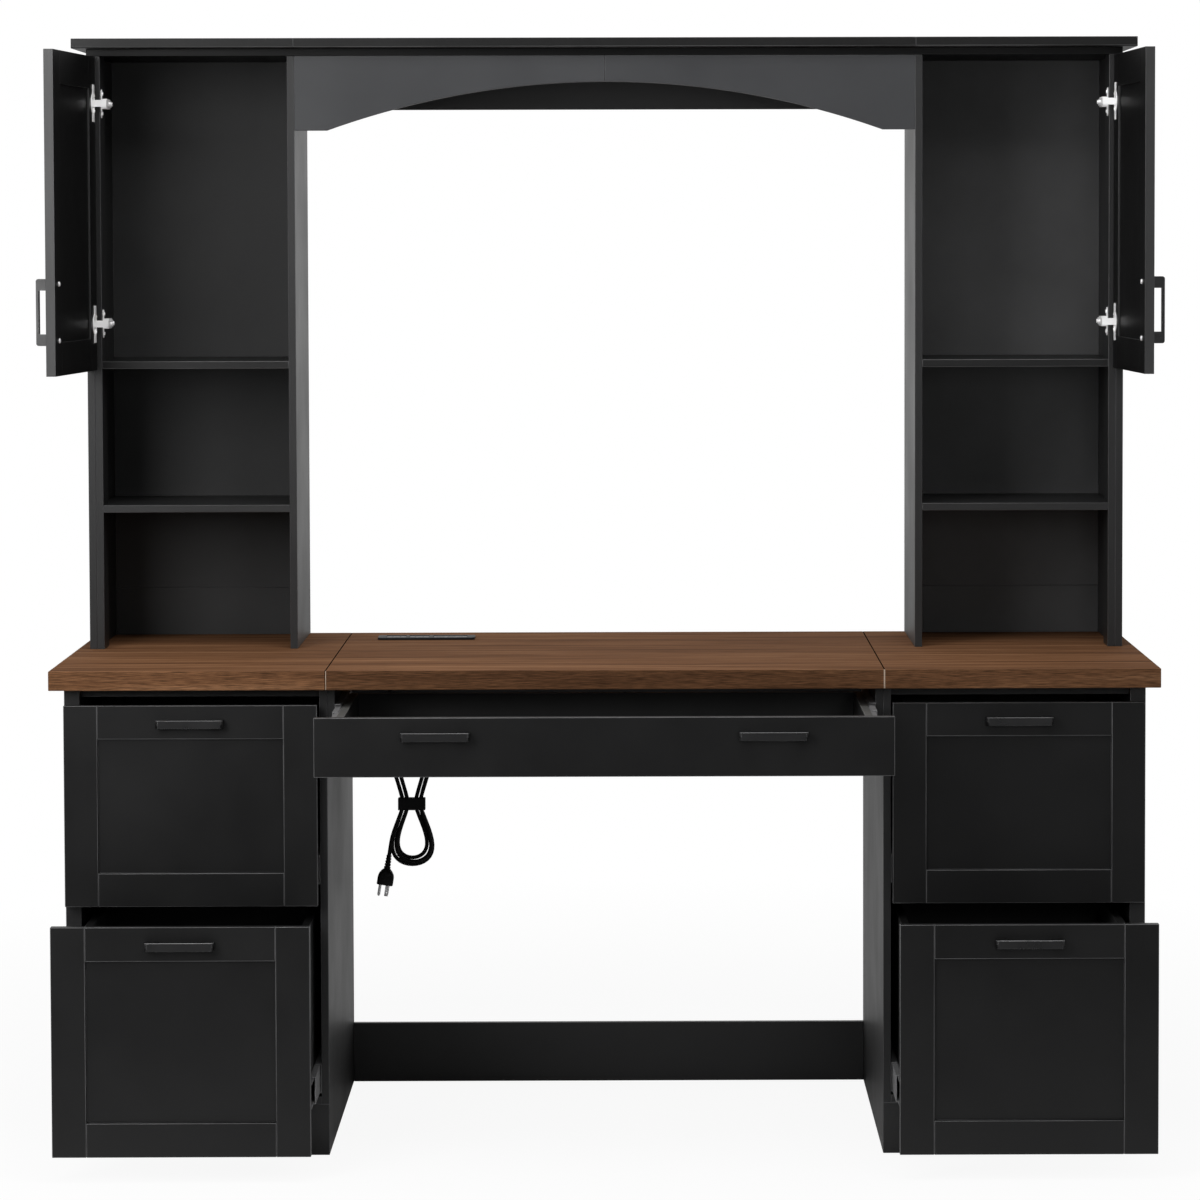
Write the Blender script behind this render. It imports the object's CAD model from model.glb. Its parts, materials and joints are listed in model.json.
"""Executive desk with hutch: rounded boards, finishes, hardware, power strip and cord round the frame."""

import functools
import json
import logging
import math
import random
from dataclasses import dataclass, replace
from enum import Enum
from typing import Callable, Dict, List, Mapping, Optional, Sequence, Tuple, Union

import bmesh
import bpy
from mathutils import Matrix, Vector


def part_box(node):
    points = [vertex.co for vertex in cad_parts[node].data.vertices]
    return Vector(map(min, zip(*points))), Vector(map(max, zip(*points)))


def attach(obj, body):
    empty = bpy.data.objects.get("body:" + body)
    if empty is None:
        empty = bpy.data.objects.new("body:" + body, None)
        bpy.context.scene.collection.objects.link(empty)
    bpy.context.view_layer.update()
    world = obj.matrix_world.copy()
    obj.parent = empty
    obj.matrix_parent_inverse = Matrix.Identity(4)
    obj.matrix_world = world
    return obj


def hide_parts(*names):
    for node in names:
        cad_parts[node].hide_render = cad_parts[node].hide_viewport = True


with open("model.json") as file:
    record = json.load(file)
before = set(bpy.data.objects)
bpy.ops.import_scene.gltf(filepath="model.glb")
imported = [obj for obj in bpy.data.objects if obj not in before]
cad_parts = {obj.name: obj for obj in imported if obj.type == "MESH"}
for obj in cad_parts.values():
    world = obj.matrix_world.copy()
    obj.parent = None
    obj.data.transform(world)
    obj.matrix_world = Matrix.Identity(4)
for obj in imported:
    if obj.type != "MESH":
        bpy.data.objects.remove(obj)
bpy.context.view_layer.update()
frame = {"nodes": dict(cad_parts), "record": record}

log = logging.getLogger("desk")

Socket = bpy.types.NodeSocket
Sockets = Mapping[str, Socket]
Mesh = bpy.types.Mesh
Piece = bpy.types.Object
Shape = bmesh.types.BMesh
Solid = Sequence[bmesh.types.BMVert]
Face = bmesh.types.BMFace
Triple = Tuple[float, float, float]
Pair = Tuple[float, float]
Value = Union[float, Triple, Socket]

MM = 0.001
MERGE = 1e-6
FLAT = math.radians(1)
ROUND = math.radians(25)
SHARP = math.radians(40)
QUARTER = math.pi / 2
BUMP = 0.0002
GRAIN_SCATTER = 4.0
RING_POINTS = 24
GRAIN = "grain"
RIM = "rim"
WAY = "way"
BODIES = {node: body for body, nodes in frame["record"]["behaviour"]["bodies"].items() for node in nodes}


class Axis(Enum):
    """The direction in which a board's grain runs."""

    X = 0
    LONGEST = 3


class Side(Enum):
    """The two halves of the desk, with the sign of their X."""

    LEFT = -1
    RIGHT = 1

    @property
    def word(self) -> str:
        """The side's name as the nodes write it."""
        return self.name.lower()


class NodeSketch:
    """Adds nodes to one tree and joins them, so that a material reads as a list of steps."""

    def __init__(self, tree: bpy.types.NodeTree) -> None:
        """Keeps the tree that the nodes are added to."""
        self.tree = tree

    def node(self, kind: str, inputs: Optional[Dict] = None, **settings: object) -> bpy.types.Node:
        """Adds one node.

        Args:
            kind: The node's type name.
            inputs: Values or sockets for its inputs, by name or number.
            settings: Values for the node's own properties.

        Returns:
            The new node.
        """
        made = self.tree.nodes.new(kind)
        for key, value in settings.items():
            setattr(made, key, value)
        for key, value in (inputs or {}).items():
            self.feed(made.inputs[key], value)
        return made

    def feed(self, socket: Socket, value: Union[Value, str, List[Socket]]) -> None:
        """Links a socket, or each socket of a list, to the input, or writes a plain value there."""
        if isinstance(value, (Socket, list)):
            for source in value if isinstance(value, list) else [value]:
                self.tree.links.new(source, socket)
        else:
            opaque = socket.type == "RGBA" and len(value) == 3
            socket.default_value = (*value, 1.0) if opaque else value

    def group(self, tree: bpy.types.NodeTree, **inputs: Value) -> Sockets:
        """Places a shader group, feeds its named inputs and returns its outputs."""
        named = {key.replace("_", " "): value for key, value in inputs.items()}
        return self.node("ShaderNodeGroup", named, node_tree=tree).outputs

    def maths(self, operation: str, *values: Value, clamp: bool = False) -> Socket:
        """Adds a Math node and returns its output."""
        made = self.node("ShaderNodeMath", dict(enumerate(values)), operation=operation, use_clamp=clamp)
        return made.outputs[0]

    def vector_maths(self, operation: str, *values: Value) -> Socket:
        """Adds a Vector Math node and returns its vector output."""
        made = self.node("ShaderNodeVectorMath", dict(enumerate(values)), operation=operation)
        return made.outputs["Vector"]

    def combine(self, x: Value = 0.0, y: Value = 0.0, z: Value = 0.0) -> Socket:
        """Makes a vector of three values."""
        return self.node("ShaderNodeCombineXYZ", {0: x, 1: y, 2: z}).outputs[0]

    def split(self, vector: Value) -> List[Socket]:
        """Takes a vector apart into three values."""
        return list(self.node("ShaderNodeSeparateXYZ", {0: vector}).outputs)

    def place(self, output: str = "Object") -> Socket:
        """Gives the shaded point in one of the texture coordinates."""
        return self.node("ShaderNodeTexCoord").outputs[output]

    def attribute(self, name: str, output: str = "Vector") -> Socket:
        """Reads one of the mesh's own attributes."""
        return self.node("ShaderNodeAttribute", attribute_name=name).outputs[output]

    def noise(self, place: Value, scale: Value, detail: float = 3.0, roughness: float = 0.5) -> Socket:
        """Adds a noise texture and returns its value."""
        inputs = {"Vector": place, "Scale": scale, "Detail": detail, "Roughness": roughness}
        return self.node("ShaderNodeTexNoise", inputs).outputs[0]

    def spread(self, value: Value, low: float, high: float, out_low: float = 0.0,
               out_high: float = 1.0) -> Socket:
        """Maps the stretch from low to high onto the stretch from out_low to out_high, and clamps it."""
        inputs = {0: value, 1: low, 2: high, 3: out_low, 4: out_high}
        return self.node("ShaderNodeMapRange", inputs, clamp=True).outputs[0]

    def mix(self, share: Value, first: Value, second: Value, blend: str = "MIX") -> Socket:
        """Mixes two colours, with the given share of the second."""
        inputs = {0: share, 6: first, 7: second}
        return self.node("ShaderNodeMix", inputs, data_type="RGBA", blend_type=blend).outputs[2]

    def mix_shaders(self, share: Value, first: Socket, second: Socket) -> Socket:
        """Mixes two shaders, with the given share of the second."""
        return self.node("ShaderNodeMixShader", {0: share, 1: first, 2: second}).outputs[0]

    def glow(self, kind: str, tone: float, strength: Value) -> Socket:
        """Adds an Emission or a Background shader in a plain grey."""
        return self.node("ShaderNode" + kind, {"Color": (tone, tone, tone), "Strength": strength}).outputs[0]

    def ramp(self, value: Value, stops: Sequence[Tuple[float, Triple]]) -> Socket:
        """Picks a colour with a value.

        Args:
            value: The value.
            stops: Places from 0 to 1 with their colours.

        Returns:
            The colour.
        """
        made = self.node("ShaderNodeValToRGB", {0: value})
        band = made.color_ramp.elements
        while len(band) < len(stops):
            band.new(0.5)
        for stop, (place, colour) in zip(band, stops):
            stop.position = place
            stop.color = (*colour, 1.0)
        return made.outputs[0]

    def bump(self, height: Value, strength: float, distance: float) -> Socket:
        """Adds a Bump node and returns its normal."""
        inputs = {"Height": height, "Strength": strength, "Distance": distance}
        return self.node("ShaderNodeBump", inputs).outputs[0]

    def cylinder(self, **inputs: Value) -> Socket:
        """Adds a mesh cylinder."""
        named = {key.replace("_", " "): value for key, value in inputs.items()}
        return self.node("GeometryNodeMeshCylinder", named).outputs["Mesh"]

    def moved(self, geometry: Socket, place: Value, turn: Triple = (0.0, 0.0, 0.0)) -> Socket:
        """Moves and turns a geometry."""
        inputs = {"Geometry": geometry, "Translation": place, "Rotation": turn}
        return self.node("GeometryNodeTransform", inputs).outputs[0]

    def copies(self, **inputs: Value) -> Socket:
        """Sets an instance on each point and makes the copies real."""
        placed = self.node("GeometryNodeInstanceOnPoints", inputs).outputs[0]
        return self.node("GeometryNodeRealizeInstances", {0: placed}).outputs[0]

    def joined(self, *geometries: Socket) -> Socket:
        """Joins geometries."""
        return self.node("GeometryNodeJoinGeometry", {0: list(geometries)}).outputs[0]

    def painted(self, geometry: Socket, finish: Socket) -> Socket:
        """Gives a geometry its material."""
        return self.node("GeometryNodeSetMaterial", {"Geometry": geometry, "Material": finish}).outputs[0]


def empty_sketch(owner: Union[bpy.types.Material, bpy.types.World]) -> NodeSketch:
    """Clears the nodes of a material or the world and starts a sketch of its tree."""
    owner.use_nodes = True
    owner.node_tree.nodes.clear()
    return NodeSketch(owner.node_tree)


def node_group(kind: str, name: str, inputs: Dict, *outputs: str) -> Callable:
    """Turns a function that adds a group's nodes into one that gives the group, made on its first call.

    Args:
        kind: Shader, whose outputs are values, or Geometry.
        name: The group's name.
        inputs: Each input's name with its default value, or with its type where it has no default.
        outputs: The outputs' names.

    Returns:
        The decorator.
    """
    result = "NodeSocketFloat" if kind == "Shader" else "NodeSocketGeometry"

    def decorate(fill: Callable[[NodeSketch, Sockets], Sequence[Socket]]) -> Callable:
        """Wraps the function, which gives the sockets of the outputs in their order."""

        @functools.wraps(fill)
        def give() -> bpy.types.NodeTree:
            """Finds or makes the group."""
            if name in bpy.data.node_groups:
                return bpy.data.node_groups[name]
            tree = bpy.data.node_groups.new(name, kind + "NodeTree")
            for label, value in inputs.items():
                word = value if isinstance(value, str) else type(value).__name__.capitalize()
                made = tree.interface.new_socket(label, in_out="INPUT", socket_type="NodeSocket" + word)
                if not isinstance(value, str):
                    made.default_value = value
            for label in outputs:
                tree.interface.new_socket(label, in_out="OUTPUT", socket_type=result)
            sketch = NodeSketch(tree)
            sockets = fill(sketch, sketch.node("NodeGroupInput").outputs)
            sketch.node("NodeGroupOutput", dict(zip(outputs, sockets)))
            return tree

        return give

    return decorate


@node_group("Shader", "Long grain", {"Vector": "Vector", "Stretch": 14.0, "Scale": 90.0, "Warp": 0.004},
            "Streaks", "Bands", "Pores")
def long_grain(sketch: NodeSketch, given: Sockets) -> Sequence[Socket]:
    """A wood grain that runs along the first axis: fine streaks, broad bands and short pores.

    Args:
        sketch: The group's sketch.
        given: The group's inputs.

    Returns:
        The masks of the three.
    """
    x, y, z = sketch.split(given["Vector"])
    place = sketch.combine(sketch.maths("DIVIDE", x, given["Stretch"]), y, z)
    broad = sketch.maths("MULTIPLY", given["Scale"], 0.16)
    fine = sketch.maths("MULTIPLY", given["Scale"], 5.0)
    drift = sketch.node("ShaderNodeTexNoise", {"Vector": place, "Scale": broad, "Detail": 2.0}).outputs[1]
    centred = sketch.vector_maths("SUBTRACT", drift, (0.5, 0.5, 0.5))
    shift = sketch.node("ShaderNodeVectorMath", {0: centred, "Scale": given["Warp"]}, operation="SCALE")
    warped = sketch.vector_maths("ADD", place, shift.outputs["Vector"])
    streaks = sketch.noise(warped, given["Scale"], 7.0, 0.62)
    bands = sketch.noise(warped, broad, 2.0, 0.4)
    pores = sketch.noise(warped, fine, 1.0, 0.5)
    return streaks, sketch.spread(bands, 0.36, 0.64), sketch.spread(pores, 0.60, 0.74)


@node_group("Shader", "Fine mottle", {"Vector": "Vector", "Cloud scale": 7.0, "Speck scale": 1400.0},
            "Clouds", "Specks")
def fine_mottle(sketch: NodeSketch, given: Sockets) -> Sequence[Socket]:
    """Cloudy changes and fine specks that no real surface is without.

    Args:
        sketch: The group's sketch.
        given: The group's inputs.

    Returns:
        The masks of the clouds and the specks.
    """
    clouds = sketch.noise(given["Vector"], given["Cloud scale"], 4.0, 0.55)
    specks = sketch.noise(given["Vector"], given["Speck scale"], 2.0, 0.5)
    return sketch.spread(clouds, 0.3, 0.7), specks


@node_group("Shader", "Worn rim", {"Vector": "Vector", "Rim": 0.0, "Wear": 0.5}, "Mask")
def worn_rim(sketch: NodeSketch, given: Sockets) -> Sequence[Socket]:
    """The part of a rounded edge that handling has brightened.

    Args:
        sketch: The group's sketch.
        given: The group's inputs.

    Returns:
        The part's mask.
    """
    patches = sketch.spread(sketch.noise(given["Vector"], 9.0, 5.0, 0.6), 0.3, 0.75, 0.35, 1.0)
    worn = sketch.maths("MULTIPLY", patches, given["Rim"])
    return [sketch.maths("MULTIPLY", worn, given["Wear"], clamp=True)]


@dataclass(frozen=True)
class Finish:
    """A surface finish that makes its own material."""

    name: str

    def material(self) -> bpy.types.Material:
        """Gives the material, which the first call makes.

        Returns:
            The material.
        """
        if self.name in bpy.data.materials:
            return bpy.data.materials[self.name]
        made = bpy.data.materials.new(self.name)
        sketch = empty_sketch(made)
        shader = sketch.node("ShaderNodeBsdfPrincipled", self.paint(sketch))
        sketch.node("ShaderNodeOutputMaterial", {"Surface": shader.outputs[0]})
        return made

    def paint(self, sketch: NodeSketch) -> Dict[str, object]:
        """Adds the finish's nodes; each finish has its own way.

        Args:
            sketch: The material's sketch.

        Returns:
            The values and sockets for the shader's inputs.
        """
        raise NotImplementedError

    @staticmethod
    def worn(sketch: NodeSketch, place: Socket, colour: Socket, rim: Triple, wear: float) -> Socket:
        """Brightens a colour at the worn edges."""
        mask = sketch.group(worn_rim(), Vector=place, Rim=sketch.attribute(RIM, "Fac"), Wear=wear)["Mask"]
        return sketch.mix(mask, colour, rim)


@dataclass(frozen=True)
class Coat(Finish):
    """An even coat with faint clouds, fine specks and worn edges, such as paint or moulded plastic."""

    base: Triple = (0.006, 0.006, 0.0063)
    cloud: Triple = (0.009, 0.009, 0.0094)
    rim: Triple = (0.06, 0.06, 0.062)
    roughness: float = 0.45
    rougher: float = 0.07
    smoother: float = 0.05
    specular: float = 0.4
    texture: float = 0.25
    wear: float = 0.6
    cloud_scale: float = 22.0
    speck_scale: float = 1700.0

    def mottled(self, sketch: NodeSketch, place: Socket) -> Tuple[Sockets, Dict[str, object]]:
        """Adds the mottle.

        Args:
            sketch: The material's sketch.
            place: The place in the mottle.

        Returns:
            The mottle's masks, and the shader's inputs that it makes.
        """
        mottle = sketch.group(fine_mottle(), Vector=place, Cloud_scale=self.cloud_scale,
                              Speck_scale=self.speck_scale)
        toned = sketch.mix(mottle["Clouds"], self.base, self.cloud)
        least, most = self.roughness - self.smoother, self.roughness + self.rougher
        return mottle, {
            "Base Color": self.worn(sketch, place, toned, self.rim, self.wear),
            "Roughness": sketch.spread(mottle["Clouds"], 0.0, 1.0, least, most),
            "Specular IOR Level": self.specular,
        }

    def paint(self, sketch: NodeSketch) -> Dict[str, object]:
        """Adds the specks' texture."""
        mottle, inputs = self.mottled(sketch, sketch.place())
        return {**inputs, "Normal": sketch.bump(mottle["Specks"], self.texture, BUMP)}


@dataclass(frozen=True)
class Melamine(Coat):
    """Satin laminate with a shallow pressed grain and slightly brighter edges."""

    base: Triple = (0.0125, 0.0125, 0.0130)
    cloud: Triple = (0.0165, 0.0165, 0.0170)
    rim: Triple = (0.075, 0.075, 0.078)
    roughness: float = 0.40
    rougher: float = 0.05
    smoother: float = 0.04
    specular: float = 0.42
    texture: float = 0.12
    wear: float = 0.9
    cloud_scale: float = 5.0
    speck_scale: float = 900.0
    grain_gloss: float = 0.08

    def paint(self, sketch: NodeSketch) -> Dict[str, object]:
        """Adds the pressed grain."""
        place = sketch.attribute(GRAIN)
        mottle, inputs = self.mottled(sketch, place)
        streaks = sketch.group(long_grain(), Vector=place, Stretch=22.0, Scale=420.0, Warp=0.002)["Streaks"]
        grained = sketch.maths("MULTIPLY_ADD", streaks, self.grain_gloss, inputs["Roughness"])
        height = sketch.maths("ADD", streaks, mottle["Specks"])
        return {**inputs, "Roughness": sketch.maths("SUBTRACT", grained, self.grain_gloss / 2),
                "Normal": sketch.bump(height, self.texture, BUMP)}


@dataclass(frozen=True)
class Walnut(Finish):
    """Walnut with long straight streaks, broad tone bands and short dark pores."""

    streaks: Tuple[Tuple[float, Triple], ...] = (
        (0.37, (0.088, 0.038, 0.0170)),
        (0.46, (0.158, 0.072, 0.0325)),
        (0.53, (0.226, 0.107, 0.0500)),
        (0.62, (0.335, 0.173, 0.0880)),
    )
    band: Triple = (0.100, 0.046, 0.0230)
    pore: Triple = (0.030, 0.013, 0.0065)
    rim: Triple = (0.200, 0.105, 0.0560)
    roughness: float = 0.85
    specular: float = 0.06
    wide_share: float = 0.6
    band_share: float = 0.38
    pore_share: float = 0.55
    wear: float = 0.6

    def paint(self, sketch: NodeSketch) -> Dict[str, object]:
        """Mixes the streaks, bands and pores."""
        place = sketch.attribute(GRAIN)
        grain = sketch.group(long_grain(), Vector=place, Stretch=34.0, Scale=150.0, Warp=0.006)
        wide = sketch.group(long_grain(), Vector=place, Stretch=24.0, Scale=40.0, Warp=0.012)
        narrow_part = sketch.maths("MULTIPLY", grain["Streaks"], 1.0 - self.wide_share)
        blend = sketch.maths("MULTIPLY_ADD", wide["Streaks"], self.wide_share, narrow_part)
        band_mask = sketch.maths("MULTIPLY", wide["Bands"], self.band_share)
        banded = sketch.mix(band_mask, sketch.ramp(blend, self.streaks), self.band)
        pored = sketch.mix(sketch.maths("MULTIPLY", grain["Pores"], self.pore_share), banded, self.pore)
        height = sketch.maths("SUBTRACT", grain["Streaks"], grain["Pores"])
        return {
            "Base Color": self.worn(sketch, place, pored, self.rim, self.wear),
            "Roughness": sketch.maths("MULTIPLY_ADD", grain["Pores"], 0.15, self.roughness),
            "Normal": sketch.bump(height, 0.25, 0.0003),
            "Specular IOR Level": self.specular,
        }


@dataclass(frozen=True)
class EdgeBand(Walnut):
    """A narrow walnut band with finer, darker streaks than the boards' upper faces."""

    shade: float = 0.5
    tone: Triple = (0.190, 0.090, 0.0420)

    def paint(self, sketch: NodeSketch) -> Dict[str, object]:
        """Evens and darkens the walnut and adds short fine streaks."""
        inputs = super().paint(sketch)
        place = sketch.attribute(GRAIN)
        fine = sketch.group(long_grain(), Vector=place, Stretch=30.0, Scale=1100.0, Warp=0.0005)
        level = sketch.spread(fine["Streaks"], 0.38, 0.62, self.shade * 0.5, self.shade * 1.5)
        even = sketch.mix(0.5, inputs["Base Color"], self.tone)
        return {**inputs, "Base Color": sketch.mix(1.0, even, level, "MULTIPLY")}


@dataclass(frozen=True)
class RawEdge(Finish):
    """The pale core of a board where its facing ends."""

    base: Triple = (0.36, 0.27, 0.20)
    chip: Triple = (0.52, 0.42, 0.33)

    def paint(self, sketch: NodeSketch) -> Dict[str, object]:
        """Scatters chips of two tones."""
        place = sketch.attribute(GRAIN)
        chips = sketch.node("ShaderNodeTexVoronoi", {"Vector": place, "Scale": 700.0}).outputs["Color"]
        mottle = sketch.group(fine_mottle(), Vector=place, Cloud_scale=40.0, Speck_scale=1500.0)
        return {
            "Base Color": sketch.mix(chips, self.base, self.chip),
            "Roughness": sketch.spread(mottle["Clouds"], 0.0, 1.0, 0.75, 0.9),
            "Normal": sketch.bump(mottle["Specks"], 0.4, BUMP),
        }


@dataclass(frozen=True)
class BrightSteel(Finish):
    """Zinc-plated or nickel-plated steel with faint rolling lines."""

    base: Triple = (0.95, 0.95, 0.95)
    dull: Triple = (0.78, 0.78, 0.79)
    roughness: float = 0.36
    metallic: float = 0.45

    def paint(self, sketch: NodeSketch) -> Dict[str, object]:
        """Mixes the plating's tones and its rolling lines."""
        place = sketch.place()
        mottle = sketch.group(fine_mottle(), Vector=place, Cloud_scale=25.0, Speck_scale=1200.0)
        lines = sketch.group(long_grain(), Vector=place, Stretch=1.0, Scale=900.0, Warp=0.001)["Streaks"]
        return {
            "Base Color": sketch.mix(mottle["Clouds"], self.base, self.dull),
            "Roughness": sketch.spread(lines, 0.2, 0.8, self.roughness - 0.06, self.roughness + 0.12),
            "Normal": sketch.bump(mottle["Specks"], 0.08, 0.0001),
            "Metallic": self.metallic,
        }


MELAMINE = Melamine("black_laminate")
FRONT_MELAMINE = Melamine("front_laminate", base=(0.0055, 0.0055, 0.0057), cloud=(0.0078, 0.0078, 0.0080),
                          rim=(0.14, 0.14, 0.143), specular=0.32)
SHADED_MELAMINE = Melamine("shaded_laminate", base=(0.0030, 0.0030, 0.0031), cloud=(0.0045, 0.0045, 0.0046),
                           rim=(0.012, 0.012, 0.0123), specular=0.16)
TOP_MELAMINE = Melamine("hutch_top_laminate", base=(0.0040, 0.0040, 0.0041), cloud=(0.0060, 0.0060, 0.0061),
                        rim=(0.09, 0.09, 0.092), specular=0.26)
VALANCE_MELAMINE = Melamine("valance_laminate", base=(0.026, 0.027, 0.0295), cloud=(0.035, 0.036, 0.039))
DOOR_EDGE = Melamine("door_edge_band", base=(0.023, 0.023, 0.0235), cloud=(0.031, 0.031, 0.0315))
BACK_PANEL = Melamine("back_panel_board", base=(0.018, 0.018, 0.0183), cloud=(0.030, 0.030, 0.0304),
                      roughness=0.5, specular=0.3)
LIT_BACK_PANEL = replace(BACK_PANEL, name="back_panel_board_right", base=(0.042, 0.042, 0.0428),
                         cloud=(0.070, 0.070, 0.0714))
BOX_MELAMINE = Melamine("drawer_laminate", base=(0.022, 0.022, 0.0225), cloud=(0.032, 0.032, 0.0325))
BOX_EDGE = Melamine("drawer_edge_band", base=(0.075, 0.075, 0.072), cloud=(0.105, 0.105, 0.100),
                    rim=(0.14, 0.14, 0.13), roughness=0.5)
DARK_BOX_EDGE = Melamine("file_drawer_edge_band", base=(0.003, 0.003, 0.003), cloud=(0.005, 0.005, 0.005),
                         rim=(0.012, 0.012, 0.012), roughness=0.6, specular=0.2)
SEAM_SHADE = Melamine("seam_shade", base=(0.004, 0.003, 0.002), cloud=(0.006, 0.004, 0.003),
                      rim=(0.010, 0.007, 0.005), roughness=0.9, specular=0.0)
WALNUT = Walnut("walnut_boards")
WALNUT_BAND = EdgeBand("walnut_edge_band")
WALNUT_LIGHT_BAND = EdgeBand("walnut_light_edge_band", shade=0.68)
RAW_EDGE = RawEdge("raw_board_edge")
PULL_PAINT = Coat("pull_paint", base=(0.013, 0.013, 0.0135), cloud=(0.013, 0.013, 0.0135),
                  rim=(0.50, 0.50, 0.505), roughness=0.30, rougher=0.08, specular=0.5, texture=0.15, wear=1.0,
                  cloud_scale=30.0, speck_scale=900.0)
PULL_EDGE = replace(PULL_PAINT, name="pull_worn_edge", base=(0.42, 0.42, 0.427), cloud=(0.42, 0.42, 0.427),
                    roughness=0.38)
STEEL = BrightSteel("bright_plating")
NICKEL = BrightSteel("nickel_plating", base=(0.98, 0.98, 0.98), dull=(0.92, 0.92, 0.92), roughness=0.30,
                     metallic=0.10)
ZINC = BrightSteel("zinc_plating", base=(0.26, 0.26, 0.265), dull=(0.18, 0.18, 0.184), roughness=0.40,
                   metallic=0.30)
PLASTIC = Coat("moulded_plastic", rim=(0.015, 0.015, 0.0155), specular=0.15)
SOCKET_PLASTIC = Coat("socket_plastic", base=(0.060, 0.061, 0.063), cloud=(0.085, 0.086, 0.088),
                      roughness=0.40, texture=0.08)
CORD_SHEATH = Coat("cord_sheath_rubber", base=(0.006, 0.006, 0.0062), cloud=(0.009, 0.009, 0.0093),
                   roughness=0.60, texture=0.35, specular=0.12)


def link_object(name: str, data: bpy.types.ID) -> Piece:
    """Makes an object for the data, in the scene, at the origin."""
    made = bpy.data.objects.new(name, data)
    bpy.context.scene.collection.objects.link(made)
    return made


def plain_mesh(name: str, shape: Shape) -> Mesh:
    """Writes a shape to a new mesh.

    Args:
        name: The mesh's name.
        shape: The shape, which is freed.

    Returns:
        The mesh.
    """
    mesh = bpy.data.meshes.new(name)
    shape.to_mesh(mesh)
    shape.free()
    return mesh


def baked_mesh(carrier: Piece) -> Mesh:
    """Turns an object with its modifiers, or a curve, into a plain mesh.

    Args:
        carrier: The object, which is removed.

    Returns:
        The mesh, with the object's name.
    """
    bpy.context.view_layer.update()
    graph = bpy.context.evaluated_depsgraph_get()
    mesh = bpy.data.meshes.new_from_object(carrier.evaluated_get(graph))
    mesh.name = carrier.name
    bpy.data.objects.remove(carrier)
    return mesh


def add_piece(name: str, mesh: Mesh, body: str, finishes: Sequence[Finish] = (),
              replaces: Sequence[str] = ()) -> Piece:
    """Puts a finished mesh in the scene.

    Args:
        name: The piece's name.
        mesh: Its mesh, in the row frame.
        body: The body that it rides on.
        finishes: The finishes of its material slots, or none where the mesh has its materials.
        replaces: The nodes that it stands for.

    Returns:
        The piece's object.
    """
    piece = link_object(name, mesh)
    for finish in finishes:
        mesh.materials.append(finish.material())
    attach(piece, body)
    if replaces:
        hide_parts(*replaces)
    log.info("%s: %d faces on %s", name, len(mesh.polygons), body)
    return piece


def stand_in(node: str, shape: Shape, finishes: Sequence[Finish]) -> Piece:
    """Replaces a node by a shape, on the node's own body and with its slot."""
    name = node + "_dressed"
    return add_piece(name, plain_mesh(name, shape), BODIES[node], finishes, [node])


def pick_finishes(faces: Sequence, finishes: Sequence[Finish], pick: Callable[..., Finish]) -> None:
    """Gives every face the finish that a rule picks from the piece's own."""
    for face in faces:
        face.material_index = finishes.index(pick(face))


def islands(shape: Shape) -> List[Solid]:
    """Splits a shape into its separate solids, in a steady order.

    Args:
        shape: The shape.

    Returns:
        The vertices of each solid.
    """
    seen = set()
    found = []
    for first in shape.verts:
        if first in seen:
            continue
        seen.add(first)
        group, waiting = [], [first]
        while waiting:
            vert = waiting.pop()
            group.append(vert)
            others = [edge.other_vert(vert) for edge in vert.link_edges]
            fresh = [other for other in others if other not in seen]
            seen.update(fresh)
            waiting += fresh
        found.append(group)
    return found


def spans(places: Sequence[Vector]) -> List[float]:
    """The size of a set of places along each axis."""
    return [max(place[i] for place in places) - min(place[i] for place in places) for i in range(3)]


def broadest(solid: Solid) -> Face:
    """Finds the face of a solid that has the largest area."""
    return max((face for vert in solid for face in vert.link_faces), key=lambda face: face.calc_area())


def merged_copy(node: str) -> Shape:
    """Copies a node's mesh, joins its loose triangles and takes out the lines across flat faces.

    Only the faces that follow a curve are shaded smooth.

    Args:
        node: The node's name.

    Returns:
        The copy, which the caller frees.
    """
    shape = bmesh.new()
    shape.from_mesh(frame["nodes"][node].data)
    bmesh.ops.remove_doubles(shape, verts=shape.verts, dist=MERGE)
    bmesh.ops.dissolve_limit(shape, angle_limit=FLAT / 2, verts=shape.verts, edges=shape.edges)
    shape.normal_update()
    for face in shape.faces:
        face.smooth = any(FLAT < edge.calc_face_angle(0.0) < ROUND for edge in face.edges)
    return shape


@dataclass(frozen=True)
class Rounding:
    """How the edges of a piece are rounded."""

    width: float = 0.8 * MM
    segments: int = 2
    least_angle: float = 35.0
    least_edge: float = 9.0 * MM
    slimness: float = 0.9

    def apply(self, shape: Shape) -> None:
        """Rounds the shape's edges and marks the narrow new faces as rim.

        Args:
            shape: The shape, which changes.
        """
        rim = shape.loops.layers.float.get(RIM) or shape.loops.layers.float.new(RIM)
        limit = math.radians(self.least_angle)
        closed = [edge for edge in shape.edges if edge.is_manifold]
        sharp = [edge for edge in closed if edge.calc_face_angle(0.0) > limit]
        edges = [edge for edge in sharp if edge.calc_length() > self.least_edge]
        made = bmesh.ops.bevel(shape, geom=edges, offset=self.width, offset_type="OFFSET", affect="EDGES",
                               segments=self.segments, profile=0.5, clamp_overlap=True)
        for face in made["faces"]:
            round_about = sum(edge.calc_length() for edge in face.edges)
            if face.calc_area() < self.slimness * self.width * round_about:
                face.smooth = True
                for loop in face.loops:
                    loop[rim] = 1.0


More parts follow.
